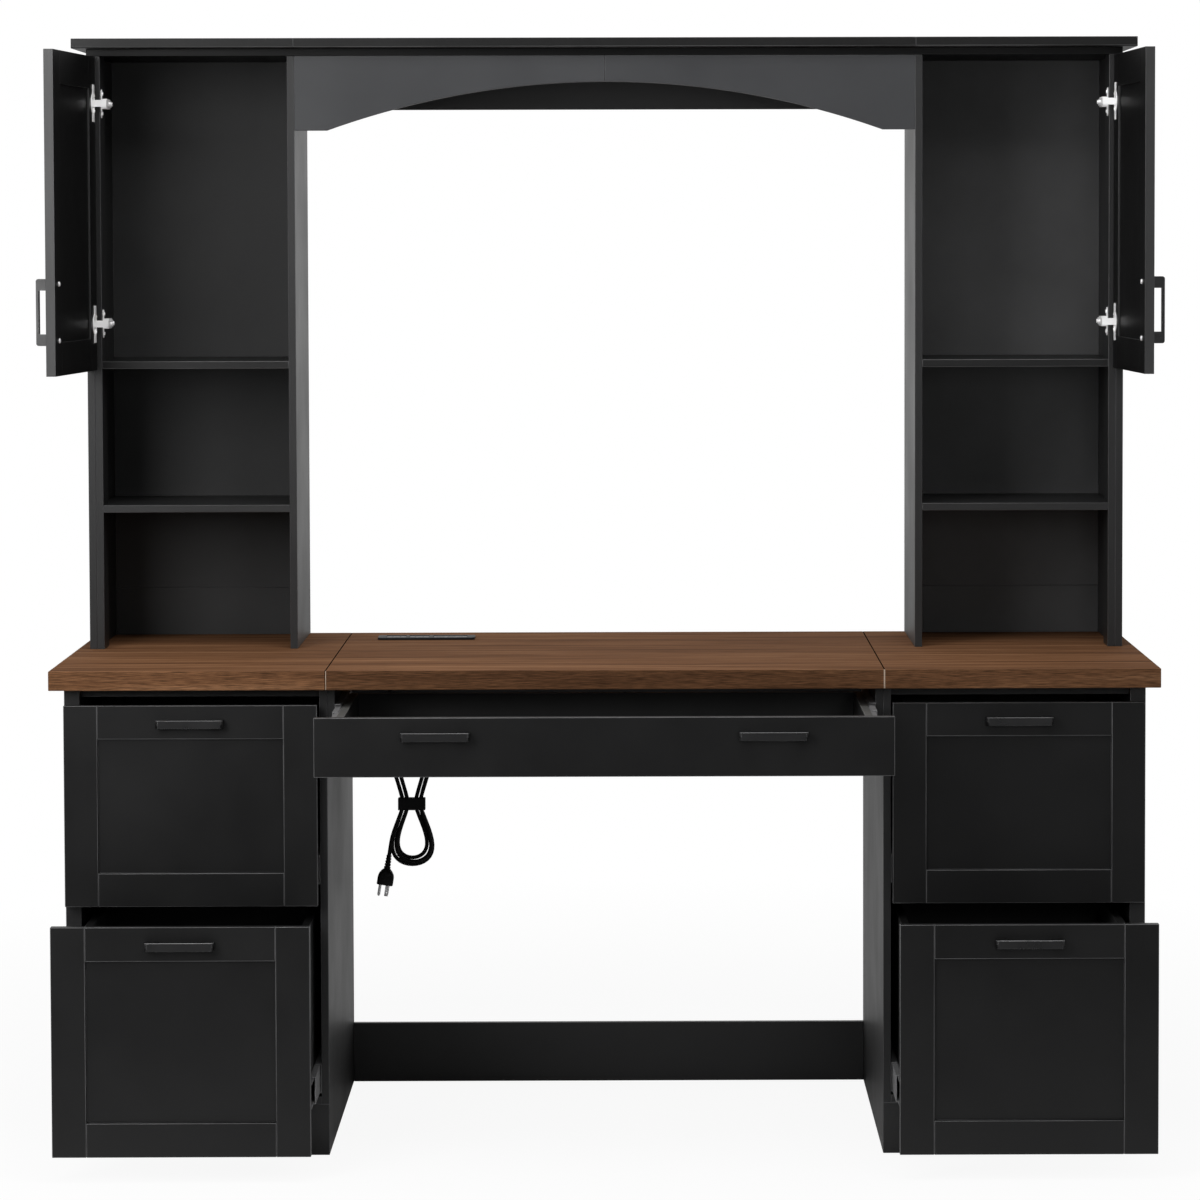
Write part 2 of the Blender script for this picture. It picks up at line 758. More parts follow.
def lay_grain(shape: Shape, axis: Axis, seed: str, turned: Optional[Matrix] = None) -> None:
    """Gives each solid its own place in the grain, along one of its directions.

    Args:
        shape: The shape, which changes.
        axis: The direction of the grain.
        seed: A word that settles where each solid lies in the grain.
        turned: The move that brings the solid square to the axes, where it stands at an angle.
    """
    layer = shape.verts.layers.float_vector.new(GRAIN)
    chance = random.Random(seed)
    for group in islands(shape):
        places = {vert: (turned @ vert.co if turned else vert.co) for vert in group}
        sizes = spans(list(places.values()))
        along = sizes.index(max(sizes)) if axis is Axis.LONGEST else axis.value
        offset = Vector([chance.uniform(-GRAIN_SCATTER, GRAIN_SCATTER) for _ in range(3)])
        for vert, place in places.items():
            vert[layer] = Vector((place[along], place[(along + 1) % 3], place[(along + 2) % 3])) + offset


def dress_node(node: str, finishes: Sequence[Finish], rounding: Rounding = Rounding(),
               axis: Axis = Axis.LONGEST, turned: Optional[Matrix] = None,
               pick: Optional[Callable[[bpy.types.MeshPolygon], Finish]] = None) -> Piece:
    """Replaces a node by a copy with rounded edges and a grain of its own.

    Args:
        node: The node's name.
        finishes: The finishes of the copy.
        rounding: How its edges are rounded.
        axis: The direction of its grain.
        turned: The move that brings it square to the axes, where it stands at an angle.
        pick: The rule that picks each face's finish, where there are several.

    Returns:
        The piece.
    """
    shape = merged_copy(node)
    rounding.apply(shape)
    lay_grain(shape, axis, node, turned)
    piece = stand_in(node, shape, finishes)
    if pick:
        pick_finishes(piece.data.polygons, finishes, pick)
    return piece


def rounded_rectangle(width: float, depth: float, radius: float, steps: int = 5, x: float = 0.0,
                      y: float = 0.0) -> List[Pair]:
    """The outline of a rectangle with round corners, anticlockwise.

    Args:
        width: Its size along the first axis.
        depth: Its size along the second axis.
        radius: The corners' radius.
        steps: The points that each corner has, less one.
        x: Its middle along the first axis.
        y: Its middle along the second axis.

    Returns:
        The points.
    """
    outline = []
    for turn, (right, up) in enumerate(((1, 1), (-1, 1), (-1, -1), (1, -1))):
        for step in range(steps + 1):
            angle = math.radians(90 * turn + 90 * step / steps)
            outline.append((right * (width / 2 - radius) + radius * math.cos(angle) + x,
                            up * (depth / 2 - radius) + radius * math.sin(angle) + y))
    return outline


def circle(radius: float, count: int, x: float = 0.0, y: float = 0.0) -> List[Pair]:
    """A circle of a number of points round the point x, y."""
    angles = [math.radians(360 * i / count) for i in range(count)]
    return [(radius * math.cos(angle) + x, radius * math.sin(angle) + y) for angle in angles]


def at_height(outline: Sequence[Pair], z: float) -> List[Vector]:
    """An outline's points at a height."""
    return [Vector((x, y, z)) for x, y in outline]


def bar_curve(name: str, lines: Sequence[Sequence[Vector]], closed: bool,
              **settings: object) -> bpy.types.Curve:
    """A curve of straight stretches.

    Args:
        name: The curve's name.
        lines: The points of each line in it.
        closed: Whether each line ends where it starts.
        settings: Values for the curve's own properties.

    Returns:
        The curve.
    """
    curve = bpy.data.curves.new(name, "CURVE")
    for key, value in settings.items():
        setattr(curve, key, value)
    for line in lines:
        spline = curve.splines.new("POLY")
        spline.points.add(len(line) - 1)
        for point, place in zip(spline.points, line):
            point.co = (*place, 1.0)
        spline.use_cyclic_u = closed
    return curve


def flat_plate(name: str, outline: Sequence[Pair], holes: Sequence[Sequence[Pair]], low: float, high: float,
               edge: float) -> Mesh:
    """A flat plate with holes through it and rounded edges.

    Args:
        name: The mesh's name.
        outline: The plate's outline.
        holes: The outlines of its holes.
        low: The height of its lower face.
        high: The height of its upper face.
        edge: The radius of its edges.

    Returns:
        The mesh.
    """
    rings = [at_height(ring, 0.0) for ring in (outline, *holes)]
    curve = bar_curve(name, rings, True, dimensions="2D", fill_mode="BOTH", extrude=(high - low) / 2 - edge,
                      bevel_depth=edge, bevel_resolution=2, offset=-edge)
    mesh = baked_mesh(link_object(name, curve))
    mesh.transform(Matrix.Translation((0, 0, (low + high) / 2)))
    shape = bmesh.new()
    shape.from_mesh(mesh)
    bmesh.ops.remove_doubles(shape, verts=shape.verts, dist=MERGE)
    bmesh.ops.recalc_face_normals(shape, faces=shape.faces)
    shape.to_mesh(mesh)
    shape.free()
    return mesh


def loft(name: str, rings: Sequence[Sequence[Vector]]) -> Mesh:
    """A closed solid through rings of points, with flat ends.

    Args:
        name: The mesh's name.
        rings: The rings, each with as many points as the others.

    Returns:
        The mesh.
    """
    shape = bmesh.new()
    rows = [[shape.verts.new(point) for point in ring] for ring in rings]
    count = len(rings[0])
    for lower, upper in zip(rows, rows[1:]):
        for i in range(count):
            face = shape.faces.new((lower[i], lower[(i + 1) % count], upper[(i + 1) % count], upper[i]))
            face.smooth = True
    shape.faces.new(rows[0])
    shape.faces.new(rows[-1])
    bmesh.ops.recalc_face_normals(shape, faces=shape.faces)
    return plain_mesh(name, shape)


def join_meshes(name: str, parts: Sequence[Tuple[Mesh, Finish, Matrix]]) -> Mesh:
    """Puts several meshes into one, each with its finish and its place.

    Args:
        name: The mesh's name.
        parts: The meshes, with their finishes and their places.

    Returns:
        The joined mesh, which has its materials.
    """
    finishes = list(dict.fromkeys(finish for _, finish, _ in parts))
    shape = bmesh.new()
    for part, finish, place in parts:
        before = len(shape.faces)
        part.transform(place)
        shape.from_mesh(part)
        shape.faces.ensure_lookup_table()
        for face in shape.faces[before:]:
            face.material_index = finishes.index(finish)
    joined = plain_mesh(name, shape)
    for finish in finishes:
        joined.materials.append(finish.material())
    return joined


@dataclass(frozen=True)
class ScrewSize:
    """The sizes of a cross-head screw."""

    head_radius: float = 4.0 * MM
    head_height: float = 2.2 * MM
    cross_length: float = 4.4 * MM
    cross_width: float = 0.9 * MM
    cross_depth: float = 1.2 * MM
    shank_radius: float = 1.9 * MM
    shank_length: float = 12.0 * MM

    def inputs(self) -> Dict[str, float]:
        """Gives the sizes under the names that the geometry nodes' inputs have."""
        return {name.replace("_", " ").capitalize(): value for name, value in vars(self).items()}


@node_group("Geometry", "Cross-head screws",
            {"Points": "Geometry", **ScrewSize().inputs(), "Seed": 3, "Finish": "Material"}, "Screws")
def screw_tree(sketch: NodeSketch, given: Sockets) -> Sequence[Socket]:
    """Geometry nodes that set a cross-head screw at each point, facing the way stored on it.

    Args:
        sketch: The group's sketch.
        given: The group's inputs.

    Returns:
        The screws.
    """
    head = sketch.cylinder(Vertices=28, Side_Segments=3, Fill_Segments=2, Radius=given["Head radius"],
                           Depth=given["Head height"])
    raised = sketch.moved(head, sketch.combine(z=sketch.maths("MULTIPLY", given["Head height"], 0.5)))
    place = sketch.node("GeometryNodeInputPosition").outputs[0]
    level = sketch.maths("DIVIDE", sketch.split(place)[2], given["Head height"])
    drawn_by = sketch.maths("MULTIPLY", sketch.maths("POWER", level, 3.0), 0.28)
    drawn_in = sketch.maths("SUBTRACT", 1.0, drawn_by)
    domed = sketch.vector_maths("MULTIPLY", place, sketch.combine(drawn_in, drawn_in, 1.0))
    dome = sketch.node("GeometryNodeSetPosition", {"Geometry": raised, "Position": domed}).outputs[0]
    depth = sketch.maths("MULTIPLY", given["Cross depth"], 2.0)
    bar_size = sketch.combine(given["Cross length"], given["Cross width"], depth)
    bar = sketch.node("GeometryNodeMeshCube", {"Size": bar_size}).outputs["Mesh"]
    top = sketch.combine(z=given["Head height"])
    cross = [sketch.moved(bar, top), sketch.moved(bar, top, (0.0, 0.0, QUARTER))]
    cut = sketch.node("GeometryNodeMeshBoolean", {"Mesh 1": dome, "Mesh 2": cross}, operation="DIFFERENCE",
                      solver="EXACT")
    shank = sketch.cylinder(Vertices=14, Radius=given["Shank radius"], Depth=given["Shank length"])
    lowered = sketch.moved(shank, sketch.combine(z=sketch.maths("MULTIPLY", given["Shank length"], -0.5)))
    way = sketch.node("GeometryNodeInputNamedAttribute", {"Name": WAY}, data_type="FLOAT_VECTOR").outputs[0]
    facing = sketch.node("FunctionNodeAlignRotationToVector", {"Vector": way}, axis="Z").outputs[0]
    chance = sketch.node("FunctionNodeRandomValue", {"Seed": given["Seed"], 3: math.pi}, data_type="FLOAT")
    turn = sketch.combine(z=chance.outputs[1])
    spin = sketch.node("FunctionNodeEulerToRotation", {0: turn}).outputs[0]
    spun = sketch.node("FunctionNodeRotateRotation", {0: facing, 1: spin}, rotation_space="LOCAL").outputs[0]
    points = sketch.node("GeometryNodeMeshToPoints", {"Mesh": given["Points"]}).outputs[0]
    screws = sketch.copies(Points=points, Instance=sketch.joined(cut.outputs[0], lowered), Rotation=spun)
    return [sketch.painted(screws, given["Finish"])]


@node_group("Geometry", "Strain relief ribs",
            {"Mesh": "Geometry", "Count": 5, "Length": 24.0 * MM, "Wide radius": 6.0 * MM,
             "Narrow radius": 4.2 * MM, "Rib share": 0.55, "Finish": "Material"}, "Ribs")
def rib_tree(sketch: NodeSketch, given: Sockets) -> Sequence[Socket]:
    """Geometry nodes that set flat ribs along a tapered strain relief, down its own axis.

    Args:
        sketch: The group's sketch.
        given: The group's inputs.

    Returns:
        The strain relief with its ribs.
    """
    pitch = sketch.maths("DIVIDE", given["Length"], given["Count"])
    start = sketch.combine(z=sketch.maths("MULTIPLY", pitch, -0.5))
    step = sketch.combine(z=sketch.maths("MULTIPLY", pitch, -1.0))
    row = {"Count": given["Count"], "Start Location": start, "Offset": step}
    line = sketch.node("GeometryNodeMeshLine", row, mode="OFFSET").outputs[0]
    rib = sketch.cylinder(Vertices=32, Radius=1.0, Depth=sketch.maths("MULTIPLY", pitch, given["Rib share"]))
    index = sketch.node("GeometryNodeInputIndex").outputs[0]
    share = sketch.maths("DIVIDE", index, sketch.maths("SUBTRACT", given["Count"], 1.0))
    narrowing = sketch.maths("SUBTRACT", given["Narrow radius"], given["Wide radius"])
    radius = sketch.maths("MULTIPLY_ADD", narrowing, share, given["Wide radius"])
    ribs = sketch.copies(Points=line, Instance=rib, Scale=sketch.combine(radius, radius, 1.0))
    return [sketch.painted(sketch.joined(given["Mesh"], ribs), given["Finish"])]


def run_tree(carrier: Piece, tree: bpy.types.NodeTree, values: Dict[str, object]) -> Mesh:
    """Runs geometry nodes on an object and returns the plain mesh that comes out.

    Args:
        carrier: The object whose mesh goes in; it is removed.
        tree: The geometry nodes.
        values: Values for the tree's named inputs.

    Returns:
        The mesh.
    """
    modifier = carrier.modifiers.new("Nodes", "NODES")
    modifier.node_group = tree
    for item in tree.interface.items_tree:
        if item.in_out == "INPUT" and item.name in values:
            modifier[item.identifier] = values[item.name]
    return baked_mesh(carrier)


def add_screws(name: str, body: str, places: Sequence[Tuple[Vector, Vector]], size: ScrewSize, finish: Finish,
               seed: int) -> None:
    """Sets screws at the given places.

    Args:
        name: The piece's name.
        body: The body that they ride on.
        places: The middle of each head's underside, with the way that the head faces.
        size: The screws' sizes.
        finish: Their finish.
        seed: The number that settles how each cross is turned.
    """
    mesh = bpy.data.meshes.new(name)
    mesh.from_pydata([place for place, _ in places], [], [])
    ways = mesh.attributes.new(WAY, "FLOAT_VECTOR", "POINT")
    for value, (_, way) in zip(ways.data, places):
        value.vector = way
    values = {**size.inputs(), "Seed": seed, "Finish": finish.material()}
    add_piece(name, run_tree(link_object(name, mesh), screw_tree(), values), body)


@dataclass
class Desktop:
    """The writing top: three walnut boards with pale edges at their seams."""

    seam_x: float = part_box("desktop_centre")[1].x
    front_y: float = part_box("desktop_centre")[0].y
    edge: Rounding = Rounding(width=1.0 * MM)
    reach: float = 1.3 * MM
    facing: float = 0.7

    def build(self) -> None:
        """Dresses the three boards."""
        for node in ("desktop_left", "desktop_centre", "desktop_right"):
            self.board(node)

    def board(self, node: str) -> None:
        """Dresses one board, with its raw edges at the seams.

        Args:
            node: The board's node.
        """
        left = node == "desktop_left"
        band = WALNUT_LIGHT_BAND if left else WALNUT_BAND
        finishes = (WALNUT, RAW_EDGE, SEAM_SHADE, band)
        shape = merged_copy(node)
        self.edge.apply(shape)
        lay_grain(shape, Axis.X, "desktop")
        rim = shape.loops.layers.float.get(RIM)

        def pick(face: Face) -> Finish:
            """Picks a face's finish by its place and the way that it faces."""
            middle = face.calc_center_median()
            if abs(abs(middle.x) - self.seam_x) < self.reach:
                raw = face.loops[0][rim] > 0 and middle.y < self.front_y + self.reach and not left
                return RAW_EDGE if raw else SEAM_SHADE
            return band if face.normal.y < -self.facing else WALNUT

        pick_finishes(shape.faces, finishes, pick)
        stand_in(node, shape, finishes)


@dataclass
class Carcass:
    """The pedestals' boards and the rails between them."""

    boards: Tuple[str, ...] = ("pedestal_outer_sides", "pedestal_inner_sides", "pedestal_backs",
                               "pedestal_bottoms", "toe_panels", "pedestal_top_rails", "kneehole_rails",
                               "centre_drawer_spacers")

    def build(self) -> None:
        """Dresses every board."""
        for node in self.boards:
            dress_node(node, [MELAMINE])


@dataclass
class Hutch:
    """The two towers, the valance and the top over them."""

    boards: Tuple[str, ...] = ("tower_outer_sides", "tower_inner_sides", "tower_stiles")
    top_boards: Tuple[str, ...] = ("hutch_top_left", "hutch_top_centre", "hutch_top_right")
    top_edge: Rounding = Rounding(width=0.6 * MM)
    cupboard_z: float = 1.2
    arch_steps: int = 96
    flat: float = 52.0 * MM
    rise: float = 78.0 * MM
    seam: float = 0.2 * MM

    def build(self) -> None:
        """Dresses the boards and makes the valance."""
        for node in self.boards:
            dress_node(node, [MELAMINE])
        dress_node("hutch_top_support", [SHADED_MELAMINE])
        dress_node("rear_top_rail", [MELAMINE])
        dress_node("tower_shelves", [MELAMINE, FRONT_MELAMINE],
                   pick=lambda face: FRONT_MELAMINE if face.center.z > self.cupboard_z else MELAMINE)
        dress_node("tower_backs", [BACK_PANEL, LIT_BACK_PANEL],
                   pick=lambda face: LIT_BACK_PANEL if face.center.x > 0 else BACK_PANEL)
        for node in self.top_boards:
            dress_node(node, [TOP_MELAMINE], self.top_edge, Axis.X)
        self.valance()

    def valance(self) -> None:
        """Makes the two arched halves of the valance, with a smooth arch."""
        low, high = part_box("valance")
        chord = high.x - self.flat
        radius = (chord * chord + self.rise * self.rise) / (2 * self.rise)
        centre_z = low.z + self.rise - radius
        outline = [(self.seam / 2, high.z), (high.x, high.z), (high.x, low.z), (chord, low.z)]
        for step in range(1, self.arch_steps + 1):
            x = chord + (self.seam / 2 - chord) * step / self.arch_steps
            outline.append((x, centre_z + math.sqrt(radius * radius - x * x)))
        shape = bmesh.new()
        for side in Side:
            front = [shape.verts.new((side.value * x, low.y, z)) for x, z in outline]
            back = [shape.verts.new((side.value * x, high.y, z)) for x, z in outline]
            shape.faces.new(front)
            shape.faces.new(back)
            for i in range(len(outline)):
                j = (i + 1) % len(outline)
                shape.faces.new((front[i], front[j], back[j], back[i]))
        bmesh.ops.recalc_face_normals(shape, faces=shape.faces)
        Rounding(least_edge=0.0).apply(shape)
        lay_grain(shape, Axis.X, "valance")
        stand_in("valance", shape, [VALANCE_MELAMINE])


@dataclass
class Pull:
    """A black bar pull with its two screws behind the board."""

    node: str
    screw: ScrewSize = ScrewSize()
    finishes: Tuple[Finish, ...] = (PULL_PAINT, SHADED_MELAMINE, PULL_EDGE)
    shortest_bar: float = 60.0 * MM
    bar: float = 4.0 * MM
    upward: float = 0.35
    evenness: int = 80
    rounding: Rounding = Rounding(width=1.9 * MM, segments=3, least_angle=40.0, least_edge=1.0 * MM)

    def build(self) -> None:
        """Dresses the bars and sets cross-head screws where the plain screws are."""
        shape = merged_copy(self.node)
        solids = islands(shape)
        screws = [solid for solid in solids if max(spans([vert.co for vert in solid])) <= self.shortest_bar]
        places = []
        for solid in screws:
            top = broadest(solid)
            places.append((top.calc_center_median() - top.normal * self.screw.head_height, top.normal.copy()))
        bmesh.ops.delete(shape, geom=[vert for solid in screws for vert in solid], context="VERTS")
        self.rounding.apply(shape)
        if "drawer" in self.node:
            self.shade_feet(shape)
        piece = stand_in(self.node, shape, self.finishes)
        piece.modifiers.new("Even shading", "WEIGHTED_NORMAL").weight = self.evenness
        bars = len(solids) - len(screws)
        add_screws(self.node + "_screws", BODIES[self.node], places, self.screw, STEEL, seed=bars)

    def shade_feet(self, shape: Shape) -> None:
        """Gives the feet the darker finish, with a cut where the bar ends, and wears the bar's upper edge.

        Args:
            shape: The pulls, which change.
        """
        end = min(vert.co.y for vert in shape.verts) + self.bar
        whole = [*shape.verts, *shape.edges, *shape.faces]
        bmesh.ops.bisect_plane(shape, geom=whole, plane_co=(0, end, 0), plane_no=(0, 1, 0))
        shape.normal_update()

        def pick(face: Face) -> Finish:
            """Tells the feet, the bar's upper edge and the rest apart."""
            if face.calc_center_median().y > end:
                return SHADED_MELAMINE
            return PULL_EDGE if face.normal.z > self.upward else PULL_PAINT

        pick_finishes(shape.faces, self.finishes, pick)


@dataclass
class Slide:
    """The members of a pair of drawer slides, with their screws."""

    node: str
    screw: ScrewSize = ScrewSize(head_radius=3.4 * MM, head_height=0.8 * MM, cross_length=3.6 * MM,
                                 cross_width=0.8 * MM, cross_depth=0.5 * MM, shank_length=8.0 * MM)
    web: float = 1.3 * MM
    shares: Tuple[float, ...] = (-0.88, -0.3, 0.35, 0.85)
    rounding: Rounding = Rounding(width=0.25 * MM, segments=1, least_edge=3.0 * MM)

    def build(self) -> None:
        """Dresses the members and sets the screws in each member's web, but for the middle ones."""
        dress_node(self.node, [ZINC], self.rounding)
        if self.node.endswith("middles"):
            return
        shape = merged_copy(self.node)
        places = [place for solid in islands(shape) for place in self.screws(solid)]
        shape.free()
        add_screws(self.node + "_screws", BODIES[self.node], places, self.screw, ZINC, seed=5)

    def screws(self, solid: Solid) -> List[Tuple[Vector, Vector]]:
        """Finds the places of one member's screws, on the open side of its web.

        Args:
            solid: The member's vertices.

        Returns:
            Each screw's place and the way that its head faces.
        """
        web = broadest(solid)
        middle = web.calc_center_median() - web.normal * self.web
        half = spans([vert.co for vert in solid])[1] / 2
        return [(middle + Vector((0, half * share, 0)), -web.normal) for share in self.shares]


@dataclass
class Drawer:
    """A drawer: its front, its box with banded upper edges, its pulls and its slides."""

    name: str
    pull: str = "pull"
    band: Finish = DARK_BOX_EDGE
    band_depth: float = 2.0 * MM
    upward: float = 0.3
    rounding: Rounding = Rounding(width=0.9 * MM)

    def build(self) -> None:
        """Dresses the drawer's pieces."""
        box = f"{self.name}_drawer_box"
        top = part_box(box)[1].z - self.band_depth

        def pick(face: bpy.types.MeshPolygon) -> Finish:
            """Finds the box's upper edges."""
            return self.band if face.center.z > top and face.normal.z > self.upward else BOX_MELAMINE

        dress_node(f"{self.name}_drawer_front", [FRONT_MELAMINE], self.rounding)
        dress_node(box, [BOX_MELAMINE, self.band], pick=pick)
        Pull(f"{self.name}_drawer_{self.pull}").build()
        Slide(f"{self.name}_drawer_slides").build()
        Slide(f"{self.name}_slide_middles").build()


@dataclass
class Door:
    """A framed cupboard door with its pull and hinge cups."""

    side: Side
    open_angle: float
    pin: Pair = (0.831, -0.2885)
    rounding: Rounding = Rounding(width=0.9 * MM)
    cup_rounding: Rounding = Rounding(width=0.3 * MM, least_edge=0.5 * MM)
    facing: float = 0.7

    def closed(self) -> Matrix:
        """Gives the move that brings the open door back square to the axes."""
        pin = Vector((self.side.value * self.pin[0], self.pin[1], 0))
        turn = Matrix.Rotation(-self.side.value * math.radians(self.open_angle), 4, "Z")
        return Matrix.Translation(pin) @ turn @ Matrix.Translation(-pin)

    def pick(self, face: bpy.types.MeshPolygon) -> Finish:
        """Tells the open door's front edge, its inner face and the rest apart."""
        if face.normal.y < -self.facing:
            return DOOR_EDGE
        return SHADED_MELAMINE if face.normal.x * self.side.value < -self.facing else FRONT_MELAMINE

    def build(self) -> None:
        """Dresses the door's pieces."""
        name = self.side.word
        dress_node(f"{name}_door", [FRONT_MELAMINE, DOOR_EDGE, SHADED_MELAMINE], self.rounding,
                   turned=self.closed(), pick=self.pick)
        Pull(f"{name}_door_pull").build()
        dress_node(f"{name}_hinge_cups", [NICKEL], self.cup_rounding)


@dataclass
class Hinges:
    """The hinge arms with the wings of their plates, which two screws hold to the towers."""

    rounding: Rounding = Rounding(width=0.35 * MM, least_edge=0.8 * MM)
    screw: ScrewSize = ScrewSize(head_radius=3.2 * MM, head_height=1.6 * MM, cross_length=3.8 * MM)
    wing_width: float = 11.0 * MM
    wing_reach: float = 23.0 * MM
    wing_thickness: float = 1.6 * MM
    wing_corner: float = 4.0 * MM
    wing_edge: float = 0.3 * MM
    screw_step: float = 16.0 * MM
    wing_y: float = -0.262
    plate_half: float = 8.0 * MM
    stile: float = 12.0 * MM

    def build(self) -> None:
        """Dresses the arms and adds the wings with their screws."""
        dress_node("hinge_arms", [NICKEL], self.rounding)
        low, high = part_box("hinge_arms")
        stile_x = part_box("tower_stiles")[1].x - self.stile
        half = self.wing_thickness / 2
        outline = rounded_rectangle(2 * self.wing_reach, self.wing_width, self.wing_corner)
        wings, places = [], []
        for side in Side:
            way = Vector((-side.value, 0.0, 0.0))
            for height in (low.z + self.plate_half, high.z - self.plate_half):
                middle = Vector((side.value * stile_x, self.wing_y, height)) + way * half
                turn = Matrix.Translation(middle) @ Matrix.Rotation(QUARTER, 4, "Y")
                wings.append((flat_plate("wing", outline, [], -half, half, self.wing_edge), NICKEL, turn))
                for step in (-self.screw_step, self.screw_step):
                    places.append((middle + way * half + Vector((0, 0, step)), way))
        add_piece("hinge_plate_wings", join_meshes("hinge_plate_wings", wings), "root")
        add_screws("hinge_plate_screws", "root", places, self.screw, NICKEL, seed=7)


@dataclass
class PowerStrip:
    """The strip in the desktop: its rim, two outlets, a charger insert and its strain relief."""

    corner: float = 6.0 * MM
    rim_edge: float = 0.9 * MM
    insert_steps: Tuple[Pair, ...] = ((14 * MM, 46 * MM), (52 * MM, 84 * MM), (92 * MM, 147 * MM))
    insert_edge: float = 8.0 * MM
    insert_gap: float = 0.3 * MM
    insert_depth: float = 6.0 * MM
    insert_corner: float = 2.2 * MM
    insert_rounding: float = 0.4 * MM
    window_corner: float = 2.5 * MM
    recess: float = 1.0 * MM
    wall: float = 5.0 * MM
    inner_corner: float = 3.0 * MM
    collar_depth: float = 7.0 * MM
    collar_edge: float = 0.2 * MM
    housing_edge: float = 1.0 * MM
    desk_z: float = 0.762
    grip_length: float = 30.0 * MM
    grip_radius: float = 7.0 * MM
    grip_end_radius: float = 4.6 * MM
    grip_ribs: int = 6
    slot: Triple = (1.9 * MM, 8.2 * MM, 0.5 * MM)
    slot_x: float = 6.35 * MM
    slot_y: float = 3.0 * MM
    earth_radius: float = 2.6 * MM
    earth_y: float = -8.0 * MM
    wide_port: Triple = (13.2 * MM, 5.6 * MM, 0.6 * MM)
    wide_port_places: Pair = (-16.0 * MM, 2.0 * MM)
    small_port: Triple = (9.0 * MM, 3.2 * MM, 1.5 * MM)
    small_port_place: float = 18.0 * MM

    def build(self, grip_x: float, grip_y: float) -> None:
        """Makes the strip.

        Args:
            grip_x: The place of the strain relief along X.
            grip_y: The place of the strain relief along Y.
        """
        low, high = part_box("power_strip")
        middle, size = (low + high) / 2, high - low
        body_z = low.z + self.grip_length
        depth = size.y - 2 * self.insert_edge
        inserts = [(low.x + (a + b) / 2, b - a) for a, b in self.insert_steps]
        both_gaps, both_walls = 2 * self.insert_gap, 2 * self.wall
        windows = [rounded_rectangle(width + both_gaps, depth + both_gaps, self.window_corner, x=x - middle.x)
                   for x, width in inserts]
        outer = rounded_rectangle(size.x, size.y, self.corner)
        inner = rounded_rectangle(size.x - both_walls, size.y - both_walls, self.inner_corner)
        collar_z = self.desk_z - self.collar_depth
        shells = [flat_plate("rim", outer, windows, self.desk_z, high.z, self.rim_edge),
                  flat_plate("collar", inner, windows, collar_z, self.desk_z, self.collar_edge),
                  flat_plate("housing", inner, [], body_z, collar_z, self.housing_edge)]
        parts = [(shell, PLASTIC, Matrix.Translation((middle.x, middle.y, 0))) for shell in shells]
        top_z = high.z - self.recess
        for (x, width), holes in zip(inserts, (self.outlet(), self.outlet(), self.charger())):
            insert = flat_plate("insert", rounded_rectangle(width, depth, self.insert_corner), holes,
                                top_z - self.insert_depth, top_z, self.insert_rounding)
            parts.append((insert, SOCKET_PLASTIC, Matrix.Translation((x, middle.y, 0))))
        mesh = join_meshes("power_strip_dressed", parts)
        add_piece("power_strip_dressed", mesh, "root", replaces=["power_strip"])
        relief = ribbed_relief("strip_strain_relief", self.grip_length, self.grip_radius,
                               self.grip_end_radius, self.grip_ribs)
        relief.transform(Matrix.Translation((grip_x, grip_y, body_z)))
        add_piece("strip_strain_relief", relief, "root")

    def outlet(self) -> List[List[Pair]]:
        """The two slots and the round earth hole of one outlet."""
        slots = [rounded_rectangle(*self.slot, 3, x, self.slot_y) for x in (-self.slot_x, self.slot_x)]
        return [*slots, circle(self.earth_radius, 20, y=self.earth_y)]

    def charger(self) -> List[List[Pair]]:
        """Two wide charging ports and a small one."""
        wide = [rounded_rectangle(*self.wide_port, 3, x) for x in self.wide_port_places]
        return [*wide, rounded_rectangle(*self.small_port, 4, self.small_port_place)]


def ribbed_relief(name: str, length: float, wide: float, narrow: float, ribs: int) -> Mesh:
    """A tapered strain relief that hangs down from the origin, with ribs round a thinner core.

    Args:
        name: The mesh's name.
        length: Its length.
        wide: The radius of its first rib.
        narrow: The radius of its last rib.
        ribs: The number of ribs.

    Returns:
        The mesh.
    """
    core = 0.8
    ends = ((wide * core, 0.0), (narrow * core, -length))
    rings = [at_height(circle(radius, RING_POINTS), z) for radius, z in ends]
    values = {"Count": ribs, "Length": length, "Wide radius": wide, "Narrow radius": narrow,
              "Finish": CORD_SHEATH.material()}
    mesh = run_tree(link_object(name, loft(name, rings)), rib_tree(), values)
    mesh.shade_smooth()
    mesh.set_sharp_from_angle(angle=SHARP)
    return mesh


